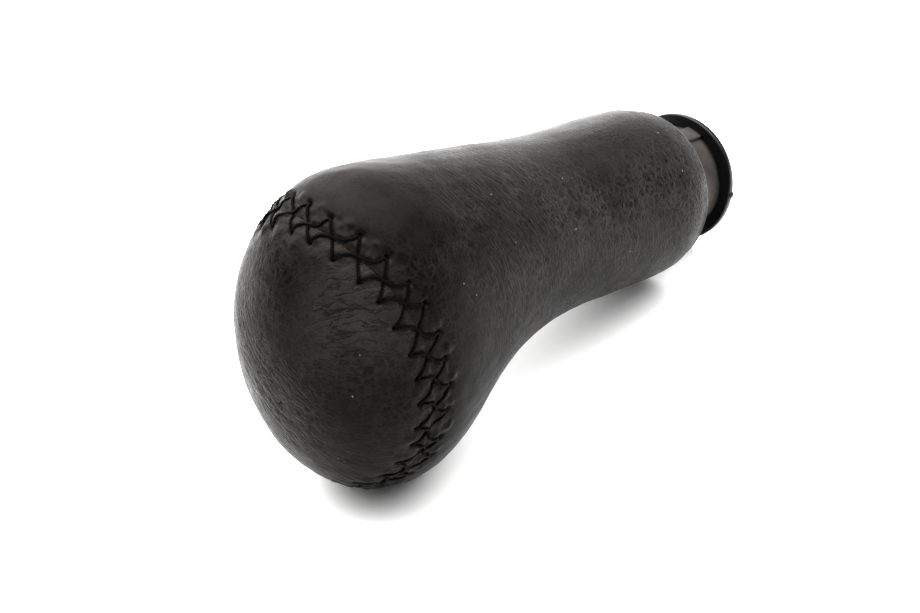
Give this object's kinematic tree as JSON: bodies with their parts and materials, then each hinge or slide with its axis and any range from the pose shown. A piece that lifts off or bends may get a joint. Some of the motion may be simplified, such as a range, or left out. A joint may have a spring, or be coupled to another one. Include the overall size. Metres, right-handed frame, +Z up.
{
  "type": "gear knob",
  "caption": "Leather covered gear knob: oval head with a crown laced on by a crossed thread seam, round stem with a turned-in lip, and a flanged collar with a bore for the lever.",
  "frame": {"origin": "on the ground, under the middle of the lying knob's box", "axes": "+X along the lying knob towards the lever end, +Z up; the head lies at -X, and the knob's own axis rises 17.3 degrees from the collar towards the head"},
  "size_m": [0.105, 0.042, 0.0564],
  "materials": {
    "sleeve_leather": "satin, fine grained",
    "cap_leather": "satin, creased and coarser grained",
    "thread": "waxed twisted thread",
    "core_plastic": "moulded",
    "bush_brass": "turned",
    "collar_plastic": "satin moulded"
  },
  "bodies": {
    "root": {"leather_sleeve": "sleeve_leather", "leather_cap": "cap_leather", "lacing_thread_under": "thread", "lacing_thread_over": "thread", "grip_core": "core_plastic", "lever_bush": "bush_brass", "gaiter_collar": "collar_plastic"}
  },
  "joints": []
}
